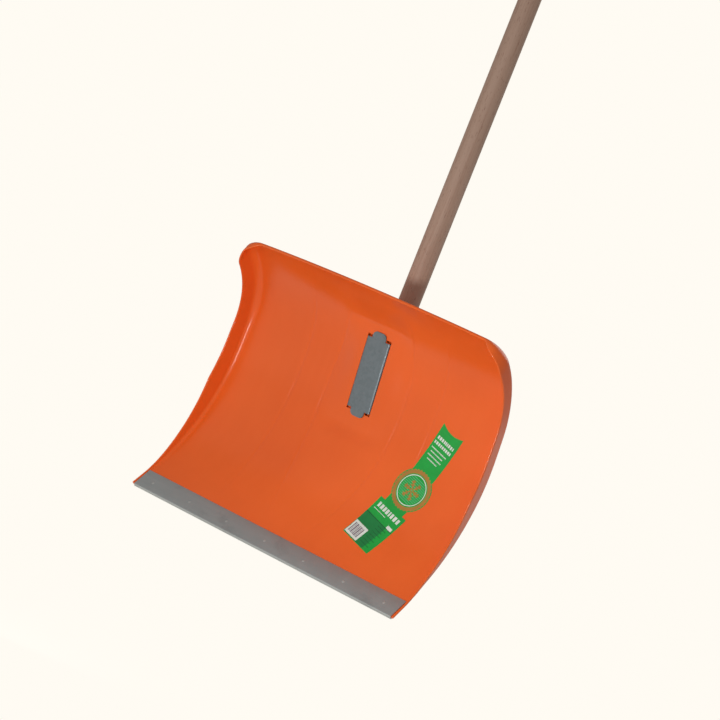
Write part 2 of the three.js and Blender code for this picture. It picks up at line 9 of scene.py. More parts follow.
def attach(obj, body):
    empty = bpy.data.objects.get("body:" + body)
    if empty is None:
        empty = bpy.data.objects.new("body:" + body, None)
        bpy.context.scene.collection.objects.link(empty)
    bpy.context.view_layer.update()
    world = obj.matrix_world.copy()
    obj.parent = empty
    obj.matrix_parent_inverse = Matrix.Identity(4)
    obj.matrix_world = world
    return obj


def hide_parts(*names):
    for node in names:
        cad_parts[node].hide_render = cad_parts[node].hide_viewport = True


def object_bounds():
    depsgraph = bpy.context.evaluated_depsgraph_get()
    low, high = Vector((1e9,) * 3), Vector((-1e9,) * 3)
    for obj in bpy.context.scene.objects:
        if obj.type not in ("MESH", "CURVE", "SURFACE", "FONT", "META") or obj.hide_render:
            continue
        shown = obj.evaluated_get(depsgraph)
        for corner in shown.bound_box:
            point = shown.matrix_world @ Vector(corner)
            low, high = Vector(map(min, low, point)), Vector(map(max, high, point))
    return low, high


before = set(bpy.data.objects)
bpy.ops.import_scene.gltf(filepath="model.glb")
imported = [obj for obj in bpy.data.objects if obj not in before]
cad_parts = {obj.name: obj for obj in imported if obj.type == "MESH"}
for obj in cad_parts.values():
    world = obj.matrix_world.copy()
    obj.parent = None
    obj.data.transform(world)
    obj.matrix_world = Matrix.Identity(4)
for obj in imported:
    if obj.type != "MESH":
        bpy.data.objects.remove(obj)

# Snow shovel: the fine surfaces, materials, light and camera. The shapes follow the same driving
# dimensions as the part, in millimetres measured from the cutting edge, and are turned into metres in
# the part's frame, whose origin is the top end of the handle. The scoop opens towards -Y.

cad_low, cad_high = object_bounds()

MM = 0.001
HANDLE_TOP = 1500


def metres(x, y, z):
    """A point of the part's frame from millimetres with z up from the cutting edge."""
    return Vector((x * MM, y * MM, (z - HANDLE_TOP) * MM))


# ---- Camera ----
CAMERA_PLACE = (2.1003, -3.2426, -0.9293)
CAMERA_YAW = math.radians(33.51)
CAMERA_LOOK_DOWN = math.radians(3.61)
CAMERA_ROLL = math.radians(21.73)
CAMERA_LENS = 119.72


def add_camera():
    data = bpy.data.cameras.new("camera")
    data.sensor_width = 36
    data.lens = CAMERA_LENS
    data.clip_start = 0.1
    data.clip_end = 200
    camera = bpy.data.objects.new("camera", data)
    turn = (Matrix.Rotation(CAMERA_YAW, 4, "Z")
            @ Matrix.Rotation(math.pi / 2 - CAMERA_LOOK_DOWN, 4, "X")
            @ Matrix.Rotation(CAMERA_ROLL, 4, "Z"))
    camera.matrix_world = Matrix.Translation(CAMERA_PLACE) @ turn
    bpy.context.scene.collection.objects.link(camera)
    bpy.context.scene.camera = camera


add_camera()

# ---- Driving dimensions of the blade ----
DEG = math.pi / 180
GAP = 0.3
BLADE_THICKNESS = 3
HALF_WIDTH_BOTTOM = 278
HALF_WIDTH_TOP = 268
CORNER_X = 24
CORNER_S = 36
TOP_ARCH = 16
LIP_LENGTH = 42
LIP_ANGLE = 45 * DEG
MAIN_RADIUS = 325
FLAT_ANGLE = -2 * DEG
FLAT_LENGTH = 35
CURL_RADIUS = 150
CURL_LENGTH = 189
FACE_TO_HANDLE_AXIS = 18.5

RIM_RADIUS = 6
RIM_RADIUS_TOP = 14
RIM_WIDENING = (230, 450)
FILLET_SHARE = 0.7
WALL_HEIGHT = 33
WALL_START = 25
WALL_RISE = 205
WALL_FLARE = math.tan(8.5 * DEG)
WALL_LOWEST = 1.2
EDGE_ROUNDING = BLADE_THICKNESS / 2

HANDLE_RADIUS = 18
HANDLE_BOTTOM = 260

PAD_BOTTOM = 241
PAD_DEPTH = 19.6
PAD_LEAN = 8.8 * DEG
PAD_HALF_WIDTH = 28
PAD_BLEND_HALF_WIDTH = 77
PAD_RANGE = (232, 270, 436, 487)
PAD_DEEPEST = 8

PLATE_THICKNESS = 2
PLATE_HALF_WIDTH = 23.4
PLATE_LENGTH = 143
TONGUE_LENGTH = 12
TONGUE_HALF_WIDTH = 13.5
TONGUE_CORNER = 8
BEND_RADIUS = 3
FLANGE_BACK = 11
FLANGE_CORNER = 8
SLOT_INNER = 20.9
SLOT_OUTER = 24
SLOT_END = 4
NOTCH_INNER = 14
NOTCH_DEPTH = 7

BOLT_HEIGHTS = (296, 356)
BOLT_RADIUS = 3
BOLT_HOLE_RADIUS = 3.35
HEX_RADIUS = 5.77
HEAD_THICKNESS = 4
NUT_THICKNESS = 5
WASHER_RADIUS = 6.2
WASHER_THICKNESS = 1.6
THREAD_PITCH = 1.0
THREAD_DEPTH = 0.45

EDGE_SHEET = 1.5
EDGE_FRONT = 37
EDGE_BACK = 26
EDGE_HALF_LENGTH = 273
RIVET_COUNT = 7
RIVET_PITCH = 82
RIVET_S = 16
RIVET_RADIUS = 2.4
RIVET_HEAD_RADIUS = 4.8
RIVET_HEAD_HEIGHT = 1.8

LABEL_FOOT = (124.5, 91.5)
LABEL_HEAD = (180.5, 321.5)
LABEL_SKEW = 0.055
LABEL_BLOCK_HALF_WIDTH = 33
LABEL_BLOCK_LENGTH = 82
LABEL_RIBBON_HALF_WIDTH = 23
LABEL_DISC_ACROSS = 2
LABEL_DISC_ALONG = 122
LABEL_DISC_RADIUS = 36
STRIPE_REACH = 23.5

# ---- Face of the blade, as in the part ----
arc_start = LIP_LENGTH
flat_start = arc_start + MAIN_RADIUS * (LIP_ANGLE - FLAT_ANGLE)
curl_start = flat_start + FLAT_LENGTH
face_length = curl_start + CURL_LENGTH


def clamp(value, low, high):
    return max(low, min(high, value))


def lerp(a, b, t):
    return a + (b - a) * t


def smooth(start, end, value):
    t = clamp((value - start) / (end - start), 0, 1)
    return t * t * (3 - 2 * t)


def arc_step(angle, turned, radius):
    y = radius * (math.cos(angle - turned) - math.cos(angle))
    z = radius * (math.sin(angle) - math.sin(angle - turned))
    return y, z


def raw_section(s):
    lip = min(s, arc_start)
    arc = clamp(s - arc_start, 0, flat_start - arc_start) / MAIN_RADIUS
    flat = clamp(s - flat_start, 0, FLAT_LENGTH)
    curl = clamp(s - curl_start, 0, CURL_LENGTH) / CURL_RADIUS
    past = max(s - face_length, 0)
    angle = LIP_ANGLE - arc - curl
    main_y, main_z = arc_step(LIP_ANGLE, arc, MAIN_RADIUS)
    top_y, top_z = arc_step(FLAT_ANGLE, curl, CURL_RADIUS)
    y = lip * math.sin(LIP_ANGLE) + main_y + flat * math.sin(FLAT_ANGLE) + top_y + past * math.sin(angle)
    z = lip * math.cos(LIP_ANGLE) + main_z + flat * math.cos(FLAT_ANGLE) + top_z + past * math.cos(angle)
    return y, z, angle


deepest_y = raw_section(arc_start + MAIN_RADIUS * LIP_ANGLE)[0]


def section(s):
    """Place (y, z) and slope of the face at the distance s up from the cutting edge."""
    y, z, angle = raw_section(s)
    return y - deepest_y - FACE_TO_HANDLE_AXIS, z, angle


def pad_y(z):
    return -PAD_DEPTH - math.tan(PAD_LEAN) * (z - PAD_BOTTOM)


def pad_shift(x, s):
    rise, start, end, fall = PAD_RANGE
    across = 1 - smooth(PAD_HALF_WIDTH, PAD_BLEND_HALF_WIDTH, abs(x))
    along = smooth(rise, start, s) * (1 - smooth(end, fall, s))
    y, z, _ = section(s)
    return across * along * min(pad_y(z) - y, PAD_DEEPEST)


def face_point(x, s, height):
    """A point at this height in front of the face, square to it."""
    y, z, angle = section(s)
    return metres(x, y + pad_shift(x, s) - height * math.cos(angle), z + height * math.sin(angle))


def half_width(s):
    return lerp(HALF_WIDTH_BOTTOM, HALF_WIDTH_TOP, s / face_length)


def rim_height(s, turn):
    """Height of the rim at s; turn goes from 0 on the sides, round the corner, to 1 at the top."""
    wall = WALL_HEIGHT * clamp((s - WALL_START) / WALL_RISE, 0, 1)
    return max(WALL_LOWEST, wall * (1 - smooth(0, 1, turn)))


def fillet_radius(s, height):
    """The rim's inner radius grows towards the top; a low rim has a smaller one."""
    return min(lerp(RIM_RADIUS, RIM_RADIUS_TOP, smooth(*RIM_WIDENING, s)), FILLET_SHARE * height)


def s_at_height(z):
    """The distance up the face at which it reaches the height z."""
    low, high = 0.0, curl_start + CURL_LENGTH / 2
    for _ in range(40):
        middle = (low + high) / 2
        if section(middle)[1] < z:
            low = middle
        else:
            high = middle
    return low


# ---- Helpers for meshes ----
SHARP_ANGLE = 35


def new_object(name, points, faces, sharp=SHARP_ANGLE):
    mesh = bpy.data.meshes.new(name)
    mesh.from_pydata(points, [], faces)
    mesh.validate()
    obj = bpy.data.objects.new(name, mesh)
    bpy.context.scene.collection.objects.link(obj)
    tidy_normals(mesh)
    mesh.shade_smooth()
    mesh.set_sharp_from_angle(angle=math.radians(sharp))
    return obj


def tidy_normals(mesh):
    work = bmesh.new()
    work.from_mesh(mesh)
    bmesh.ops.remove_doubles(work, verts=work.verts, dist=1e-7)
    bmesh.ops.recalc_face_normals(work, faces=work.faces)
    work.to_mesh(mesh)
    work.free()


def piece(obj, slot, material, *nodes):
    obj.data.materials.clear()
    obj.data.materials.append(material)
    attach(obj, "root")
    if nodes:
        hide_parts(*nodes)


def bevel(obj, width, segments, angle):
    modifier = obj.modifiers.new("bevel", "BEVEL")
    modifier.width = width * MM
    modifier.segments = segments
    modifier.limit_method = "ANGLE"
    modifier.angle_limit = math.radians(angle)


def cut(obj, cutters):
    """Cuts the other objects out of obj and removes them."""
    for cutter in cutters:
        modifier = obj.modifiers.new("cut", "BOOLEAN")
        modifier.operation = "DIFFERENCE"
        modifier.solver = "EXACT"
        modifier.object = cutter
    baked = bpy.data.meshes.new_from_object(obj.evaluated_get(bpy.context.evaluated_depsgraph_get()))
    obj.modifiers.clear()
    old = obj.data
    obj.data = baked
    bpy.data.meshes.remove(old)
    for cutter in cutters:
        bpy.data.objects.remove(cutter)
    obj.data.shade_smooth()
    obj.data.set_sharp_from_angle(angle=math.radians(SHARP_ANGLE))


def ring_faces(rings, sides):
    """Faces between rings of points that follow each other, with the two ends capped."""
    faces = []
    for j in range(rings - 1):
        for i in range(sides):
            k = (i + 1) % sides
            faces.append((j * sides + i, j * sides + k, (j + 1) * sides + k, (j + 1) * sides + i))
    faces.append(tuple(range(sides)))
    faces.append(tuple((rings - 1) * sides + i for i in range(sides)))
    return faces


def two_skins(rows, width, skipped=lambda j, i: False):
    """Faces of a front and a back skin on one grid of points, joined at their open edges.

    The back skin's points follow the front's. The joining faces come as a second list."""
    back = rows * width
    faces = []
    open_edges = {}
    for j in range(rows - 1):
        for i in range(width - 1):
            if skipped(j, i):
                continue
            quad = (j * width + i, j * width + i + 1, (j + 1) * width + i + 1, (j + 1) * width + i)
            faces += [quad, tuple(back + index for index in reversed(quad))]
            for a, b in zip(quad, quad[1:] + quad[:1]):
                if (b, a) in open_edges:
                    del open_edges[(b, a)]
                else:
                    open_edges[(a, b)] = (a, back + a, back + b, b)
    return faces, open_edges


def turned_points(profile, sides, place):
    """Rings of points round an axis: profile holds (radius, along), place takes (out, up, along)."""
    angles = [2 * math.pi * i / sides for i in range(sides)]
    return [place(radius * math.cos(angle), radius * math.sin(angle), along)
            for radius, along in profile for angle in angles]


def lathe(name, profile, sides, place):
    """A solid of revolution."""
    return new_object(name, turned_points(profile, sides, place), ring_faces(len(profile), sides))


def arc_points(centre, radius, start, end, steps):
    """Points of an arc, from one angle to the other in degrees."""
    return [(centre[0] + radius * math.cos(lerp(start, end, k / steps) * DEG),
             centre[1] + radius * math.sin(lerp(start, end, k / steps) * DEG)) for k in range(steps + 1)]


def across_at(z):
    """Places a lathe's points round a cross bolt's axis at the height z, along +X."""
    return lambda out, up, along: metres(along, out, up + z)


def bolt_holes(radius, reach):
    """Cutters for the two cross bolts' holes, from -reach to reach."""
    return [lathe("hole", [(radius, -reach), (radius, reach)], 32, across_at(z)) for z in BOLT_HEIGHTS]


# ---- Blade ----
BOWED_RIB_RANGE = (62, 478)
BOWED_RIB_X = 77                    # at the middle of the bow
BOWED_RIB_BOW = 42
BOWED_RIB_MIDDLE = 300
BOWED_RIB_HALF_SPAN = 256
STRAIGHT_RIB_RANGE = (62, 470)
STRAIGHT_RIB_X = 138
BOWED_RIB_HEIGHT = 9
STRAIGHT_RIB_HEIGHT = 8
RIB_OFFSETS = (-6, -3.2, -1.8, -1.3, 0, 1.3, 1.8, 3.2, 6)
RIB_SHAPE = (0, 0.03, 0.16, 0.97, 1, 0.97, 0.16, 0.03, 0)
SINK_WIDTH = 2.2
SINK_DEPTH = 0.7
ROW_STEP = 5
CORNER_STEPS = 12
FILLET_STEPS = 7
WALL_STEPS = 6
TIP_STEPS = 8

top_inner = face_length - BLADE_THICKNESS - FILLET_SHARE * WALL_LOWEST


def bowed_rib_x(s):
    s = clamp(s, *BOWED_RIB_RANGE)
    return BOWED_RIB_X - BOWED_RIB_BOW * ((s - BOWED_RIB_MIDDLE) / BOWED_RIB_HALF_SPAN) ** 2


def rib_rise(s, limits):
    """How far a rib stands out, from 0 to 1: it runs out at both ends."""
    t = (s - limits[0]) / (limits[1] - limits[0])
    return math.sin(math.pi * t) ** 0.5 if 0 < t < 1 else 0.0


def blade_columns(s, corner_x):
    """(x, height of a rib behind the sheet) for the columns of the right half, before the corner."""
    stops = [(0, 0, 0), (NOTCH_INNER, 0, 4), (SLOT_INNER, 0, 2), (SLOT_OUTER, 0, 2)]
    ribs = (
        (bowed_rib_x(s), BOWED_RIB_HEIGHT * rib_rise(s, BOWED_RIB_RANGE), 9),
        (STRAIGHT_RIB_X, STRAIGHT_RIB_HEIGHT * rib_rise(s, STRAIGHT_RIB_RANGE), 10),
    )
    for middle, height, steps in ribs:
        for k, (offset, share) in enumerate(zip(RIB_OFFSETS, RIB_SHAPE)):
            stops.append((middle + offset, height * share, steps if k == 0 else 1))
    stops.append((corner_x, 0, 16))
    columns = [(0, 0)]
    for (x0, h0, _), (x1, h1, steps) in zip(stops, stops[1:]):
        for k in range(1, steps + 1):
            columns.append((lerp(x0, x1, k / steps), lerp(h0, h1, k / steps)))
    return columns


def slot_levels():
    """Distances up the face at which the slots start, narrow, widen again and end."""
    start = TONGUE_LENGTH - GAP
    end = PLATE_LENGTH - TONGUE_LENGTH + GAP
    return [s_at_height(PAD_BOTTOM + along * math.cos(PAD_LEAN))
            for along in (start - SLOT_END, start, end, end + SLOT_END)]


def blade_rows(slots):
    """Levels of the rows up the face; four of them lie at the ends of the slots."""
    straight = top_inner - CORNER_S
    count = round(straight / ROW_STEP)
    even = [straight * j / count for j in range(count + 1)]
    clear = [level for level in even if all(abs(level - slot) > ROW_STEP / 3 for slot in slots)]
    return sorted(clear + slots)


def sink(x, s):
    """Shallow sink marks on the face, where the ribs are moulded on behind it."""
    marks = (
        (bowed_rib_x(s), rib_rise(s, BOWED_RIB_RANGE)),
        (STRAIGHT_RIB_X, rib_rise(s, STRAIGHT_RIB_RANGE)),
    )
    return sum(SINK_DEPTH * rise * math.exp(-((abs(x) - middle) / SINK_WIDTH) ** 2) for middle, rise in marks)


def corner_node(x_step, y_step, level):
    """(x, s, outward) of a node beside the straight columns: steps on a square become a rounded corner."""
    p = x_step / CORNER_STEPS
    q = y_step / CORNER_STEPS
    s = level + CORNER_S * q * math.sqrt(1 - p * p / 2)
    rim = fillet_radius(s, rim_height(s, 0)) + BLADE_THICKNESS
    x0 = half_width(s) - rim - CORNER_X
    return x0 + CORNER_X * p * math.sqrt(1 - q * q / 2), s, (p / CORNER_X, q / CORNER_S)


def arched(x, s):
    return s - TOP_ARCH * (x / HALF_WIDTH_TOP) ** 2 * smooth(curl_start, face_length, s)


def blade_grid():
    """Rows of (x, s, rib height, outward direction) nodes, from left to right."""
    slots = slot_levels()
    levels = blade_rows(slots)
    rows = []
    total = len(levels) + CORNER_STEPS
    for j in range(total):
        y_step = max(j - len(levels) + 1, 0)
        level = levels[min(j, len(levels) - 1)]
        straight_s = level + CORNER_S * y_step / CORNER_STEPS
        rim = fillet_radius(straight_s, rim_height(straight_s, 0)) + BLADE_THICKNESS
        corner_x = half_width(straight_s) - rim - CORNER_X
        right = []
        for x, rib in blade_columns(straight_s, corner_x):
            right.append((x, arched(x, straight_s), rib, (0, y_step)))
        for x_step in range(1, CORNER_STEPS + 1):
            x, s, outward = corner_node(x_step, y_step, level)
            right.append((x, arched(x, s), 0, outward))
        left = [(-x, s, rib, (-out[0], out[1])) for x, s, rib, out in right[:0:-1]]
        rows.append(left + right)
    return rows, slots


def rim_profile(s, height):
    """(out, up) points of the rim's section, from its foot on the face over the tip to the back."""
    fillet = fillet_radius(s, height)
    outer = fillet + BLADE_THICKNESS
    wall = max(height - EDGE_ROUNDING - fillet, 0)
    points = []
    for k in range(FILLET_STEPS + 1):
        angle = k / FILLET_STEPS * math.pi / 2
        points.append((fillet * math.sin(angle), fillet - fillet * math.cos(angle)))
    for k in range(1, WALL_STEPS):
        rise = wall * k / WALL_STEPS
        points.append((fillet + rise * WALL_FLARE, fillet + rise))
    for k in range(TIP_STEPS + 1):
        angle = math.pi * k / TIP_STEPS
        out = fillet + EDGE_ROUNDING + wall * WALL_FLARE - EDGE_ROUNDING * math.cos(angle)
        points.append((out, fillet + wall + EDGE_ROUNDING * math.sin(angle)))
    for k in range(WALL_STEPS - 1, 0, -1):
        rise = wall * k / WALL_STEPS
        points.append((outer + rise * WALL_FLARE, fillet + rise))
    for k in range(FILLET_STEPS, -1, -1):
        angle = k / FILLET_STEPS * math.pi / 2
        points.append((outer * math.sin(angle), fillet - outer * math.cos(angle)))
    return points


def in_slot(rows, j, i, slots):
    x = abs(rows[j][i][0] + rows[j][i + 1][0]) / 2
    s = (rows[j][i][1] + rows[j + 1][i][1]) / 2
    inner = SLOT_INNER if slots[1] < s < slots[2] else NOTCH_INNER
    return inner < x < SLOT_OUTER and slots[0] < s < slots[3]


def blade_mesh():
    """Points and faces of the sheet with its ribs, its slots and the rim round three of its sides."""
    rows, slots = blade_grid()
    width = len(rows[0])
    points = []
    for side in ("front", "back"):
        for row in rows:
            for x, s, rib, _ in row:
                height = -sink(x, s) if side == "front" else -BLADE_THICKNESS - rib
                points.append(face_point(x, s, height))
    back = len(rows) * width
    faces, open_edges = two_skins(len(rows), width, lambda j, i: in_slot(rows, j, i, slots))
    loop = [(j, width - 1) for j in range(len(rows))]
    loop += [(len(rows) - 1, i) for i in range(width - 2, -1, -1)]
    loop += [(j, 0) for j in range(len(rows) - 2, -1, -1)]
    steps = [j * width + i for j, i in loop]
    rimmed = set(zip(steps, steps[1:]))
    faces += [face for edge, face in open_edges.items() if edge not in rimmed]
    add_rim(rows, loop, width, back, points, faces)
    return points, faces


def add_rim(rows, loop, width, back, points, faces):
    """Adds the rim's faces along the loop of border nodes."""
    previous = None
    for j, i in loop:
        x, s, _, outward = rows[j][i]
        direction = Vector(outward).normalized()
        turn = math.atan2(direction.y, abs(direction.x)) / (math.pi / 2)
        profile = rim_profile(s, rim_height(s, turn))
        strip = [j * width + i]
        for out, up in profile[1:-1]:
            strip.append(len(points))
            points.append(face_point(x + direction.x * out, s + direction.y * out, up))
        strip.append(back + j * width + i)
        if previous:
            for k in range(len(strip) - 1):
                faces.append((previous[k], strip[k], strip[k + 1], previous[k + 1]))
        else:
            faces.append(tuple(strip))
        previous = strip
    faces.append(tuple(reversed(previous)))


def add_blade(material):
    points, faces = blade_mesh()
    blade = new_object("blade_fine", points, faces, sharp=50)
    piece(blade, "blade_plastic", material, "blade")


SEAT_HALF_WIDTH = 20.6
SEAT_FOOT = 17
SEAT_FLOOR_BACK = 12
SEAT_EDGE_Y = -9
SEAT_TOP = 392
SOCKET_HALF_WIDTH = 27
SOCKET_MARGIN = 5
BORE_CLEARANCE = 0.5


def pad_box(x0, x1, start, end, depth):
    """A box that reaches from just in front of the clamp's pad to this depth behind it."""
    points = [on_pad(x, along, out) for along in (start, end)
              for x, out in ((x0, BEND_RADIUS), (x1, BEND_RADIUS), (x1, -depth), (x0, -depth))]
    return new_object("box", points, ring_faces(2, 4))


def slot_cutters():
    start = TONGUE_LENGTH - GAP
    end = PLATE_LENGTH - TONGUE_LENGTH + GAP
    cutters = []
    for side in (-1, 1):
        outer = side * SLOT_OUTER
        notch = side * NOTCH_INNER
        cutters.append(pad_box(side * SLOT_INNER, outer, start, end, 2 * SOCKET_HALF_WIDTH))
        cutters.append(pad_box(notch, outer, start - SLOT_END, start + GAP, NOTCH_DEPTH))
        cutters.append(pad_box(notch, outer, end - GAP, end + SLOT_END, NOTCH_DEPTH))
    return cutters


def moulded_block(name, outline, half_width, material):
    """A block on the back of the blade with the handle's bore and the clamp's slots in it."""
    points = [metres(x, y, z) for x in (-half_width, half_width) for y, z in outline]
    block = new_object(name, points, ring_faces(2, len(outline)), sharp=30)
    radius = HANDLE_RADIUS + BORE_CLEARANCE
    bore = lathe("bore", [(radius, HANDLE_BOTTOM - GAP), (radius, 2 * SEAT_TOP)], 96,
                 lambda out, up, along: metres(out, up, along))
    cut(block, [bore] + slot_cutters())
    bevel(block, 0.6, 3, 35)
    piece(block, "blade_plastic", material)


def add_handle_seat(material):
    bottom = HANDLE_BOTTOM - SEAT_FOOT
    sunk = BLADE_THICKNESS / 2
    outline = [
        (pad_y(bottom) + sunk, bottom), (SEAT_FLOOR_BACK, bottom), (SEAT_FLOOR_BACK, HANDLE_BOTTOM - GAP),
        (SEAT_EDGE_Y, HANDLE_BOTTOM + SEAT_FLOOR_BACK), (SEAT_EDGE_Y, SEAT_TOP - SEAT_FLOOR_BACK),
        (pad_y(SEAT_TOP) + sunk, SEAT_TOP),
    ]
    moulded_block("handle_seat", outline, SEAT_HALF_WIDTH, material)
    bottom = PAD_BOTTOM + SOCKET_MARGIN
    top = PAD_BOTTOM + PLATE_LENGTH * math.cos(PAD_LEAN) - SOCKET_MARGIN
    outline = [(pad_y(bottom) + sunk, bottom), (SEAT_EDGE_Y, bottom), (SEAT_EDGE_Y, top),
               (pad_y(top) + sunk, top)]
    moulded_block("clamp_socket", outline, SOCKET_HALF_WIDTH, material)


# ---- Wear edge and rivets ----
FOLD_RADIUS = 1.5
STRIP_STATIONS = 90
STRIP_WAVE = 0.12


def strip_outline():
    """(out, s) outline of the folded strip, out in front of the blade's face."""
    back = BLADE_THICKNESS + GAP
    foot = -GAP - EDGE_SHEET
    front_out = GAP + EDGE_SHEET
    back_out = -back - EDGE_SHEET
    r = FOLD_RADIUS
    outline = [(GAP, EDGE_FRONT - 0.3), (GAP, -GAP), (-back, -GAP), (-back, EDGE_BACK)]
    outline += [(back_out, EDGE_BACK)]
    outline += arc_points((back_out + r, foot + r), r, 180, 270, 6)
    outline += arc_points((front_out - r, foot + r), r, 270, 360, 6)
    outline += arc_points((GAP + EDGE_SHEET / 2, EDGE_FRONT - EDGE_SHEET / 2), EDGE_SHEET / 2, 0, 160, 6)
    return outline


def on_lip(x, s, out):
    """A point square off the straight lip at the cutting edge."""
    y, z, _ = section(0)
    return metres(x, y + s * math.sin(LIP_ANGLE) - out * math.cos(LIP_ANGLE),
                  z + s * math.cos(LIP_ANGLE) + out * math.sin(LIP_ANGLE))


def on_rivet(x):
    return lambda out, up, along: on_lip(x + out, RIVET_S + up, along)


rivet_places = [(k - (RIVET_COUNT - 1) / 2) * RIVET_PITCH for k in range(RIVET_COUNT)]


def add_wear_edge(material):
    outline = strip_outline()
    points = []
    for k in range(STRIP_STATIONS + 1):
        x = lerp(-EDGE_HALF_LENGTH, EDGE_HALF_LENGTH, k / STRIP_STATIONS)
        for out, s in outline:
            wave = STRIP_WAVE * noise.noise(Vector((x / 34, s / 30, 0))) * clamp(s / EDGE_FRONT, 0, 1)
            points.append(on_lip(x, s, out + wave))
    strip = new_object("wear_edge_fine", points, ring_faces(STRIP_STATIONS + 1, len(outline)), sharp=40)
    radius = RIVET_RADIUS + GAP / 2
    cut(strip, [lathe("hole", [(radius, -12), (radius, 12)], 32, on_rivet(x)) for x in rivet_places])
    piece(strip, "edge_metal", material, "wear_edge")


def add_rivet(number, x, material):
    front = GAP + EDGE_SHEET
    seat = -BLADE_THICKNESS - 2 * GAP - EDGE_SHEET
    profile = [(RIVET_RADIUS - 0.3, front), (RIVET_RADIUS, front - 0.15), (RIVET_RADIUS, seat)]
    profile += [(RIVET_HEAD_RADIUS, seat), (RIVET_HEAD_RADIUS, seat - 0.4)]
    for k in range(1, 7):
        angle = k / 6 * math.pi / 2
        profile.append((max(RIVET_HEAD_RADIUS * math.cos(angle), 0.05),
                        seat - 0.4 - (RIVET_HEAD_HEIGHT - 0.4) * math.sin(angle)))
    rivet = lathe(f"edge_rivet_{number}_fine", profile, 32, on_rivet(x))
    piece(rivet, "rivet_metal", material, f"edge_rivet_{number}")


# ---- Handle ----
HANDLE_SIDES = 96
HANDLE_STATIONS = 200
HANDLE_TOP_ROUNDING = 7
HANDLE_FOOT_ROUNDING = 2.5
GRAIN_DEPTH = 0.1


def add_handle(material):
    foot = HANDLE_BOTTOM + HANDLE_FOOT_ROUNDING
    shoulder = HANDLE_TOP - HANDLE_TOP_ROUNDING
    profile = arc_points((HANDLE_RADIUS - HANDLE_FOOT_ROUNDING, foot), HANDLE_FOOT_ROUNDING, -90, 0, 4)
    for k in range(1, HANDLE_STATIONS + 1):
        profile.append((HANDLE_RADIUS, lerp(foot, shoulder, k / HANDLE_STATIONS)))
    top = arc_points((HANDLE_RADIUS - HANDLE_TOP_ROUNDING, shoulder), HANDLE_TOP_ROUNDING, 0, 90, 8)
    profile += top[1:]
    points = []
    for radius, z in profile:
        for i in range(HANDLE_SIDES):
            angle = 2 * math.pi * i / HANDLE_SIDES
            grain = noise.noise(Vector((math.cos(angle) * 3, math.sin(angle) * 3, z / 160)))
            r = radius - GRAIN_DEPTH + GRAIN_DEPTH * grain
            points.append(metres(r * math.cos(angle), r * math.sin(angle), z))
    stick = new_object("handle_fine", points, ring_faces(len(profile), HANDLE_SIDES), sharp=60)
    cut(stick, bolt_holes(BOLT_HOLE_RADIUS, 30))
    piece(stick, "handle_wood", material, "handle")


# ---- Clamp bracket ----
def on_pad(x, along, out):
    """A point over the clamp's pad: along runs up the pad, out stands in front of it."""
    return metres(x, pad_y(PAD_BOTTOM) - along * math.sin(PAD_LEAN) - out * math.cos(PAD_LEAN),
                  PAD_BOTTOM + along * math.cos(PAD_LEAN) - out * math.sin(PAD_LEAN))


def flange_depth(along):
    """How far behind the pad the flange reaches: its back edge is upright, with rounded corners."""
    depth = (FLANGE_BACK - pad_y(PAD_BOTTOM) + along * math.sin(PAD_LEAN)) / math.cos(PAD_LEAN)
    end = min(along - TONGUE_LENGTH, PLATE_LENGTH - TONGUE_LENGTH - along)
    past = max(FLANGE_CORNER - end, 0)
    return depth - FLANGE_CORNER + math.sqrt(max(FLANGE_CORNER ** 2 - past ** 2, 0))


def channel_section(along):
    """(x, out) of the bracket's outer and inner skins at this height, from the left flange to the right."""
    r = BEND_RADIUS
    front = GAP + PLATE_THICKNESS
    w = PLATE_HALF_WIDTH
    depth = -flange_depth(along)
    outer = [(w, lerp(depth, front - r, k / 10)) for k in range(10)]
    inner = [(w - PLATE_THICKNESS, lerp(depth, front - r, k / 10)) for k in range(10)]
    outer += arc_points((w - r, front - r), r, 0, 90, 6)
    inner += arc_points((w - r, front - r), r - PLATE_THICKNESS, 0, 90, 6)
    for k in range(1, 3):
        x = lerp(w - r, TONGUE_HALF_WIDTH, k / 2)
        outer.append((x, front))
        inner.append((x, front - PLATE_THICKNESS))
    return outer, inner


def tongue_half_width(along):
    end = min(along, PLATE_LENGTH - along)
    past = clamp(TONGUE_CORNER - end, 0, TONGUE_CORNER)
    return TONGUE_HALF_WIDTH - TONGUE_CORNER + math.sqrt(TONGUE_CORNER ** 2 - past ** 2)


def bracket_stations():
    tip = [TONGUE_LENGTH * (1 - math.cos(k / 12 * math.pi / 2)) for k in range(12)]
    body_end = PLATE_LENGTH - TONGUE_LENGTH
    corner = [TONGUE_LENGTH + FLANGE_CORNER * (1 - math.cos(k / 6 * math.pi / 2)) for k in range(7)]
    far_corner = [body_end + TONGUE_LENGTH - value for value in reversed(corner)]
    middle = [lerp(corner[-1], far_corner[0], k / 24) for k in range(1, 24)]
    return tip + corner + middle + far_corner + [PLATE_LENGTH - value for value in reversed(tip)]


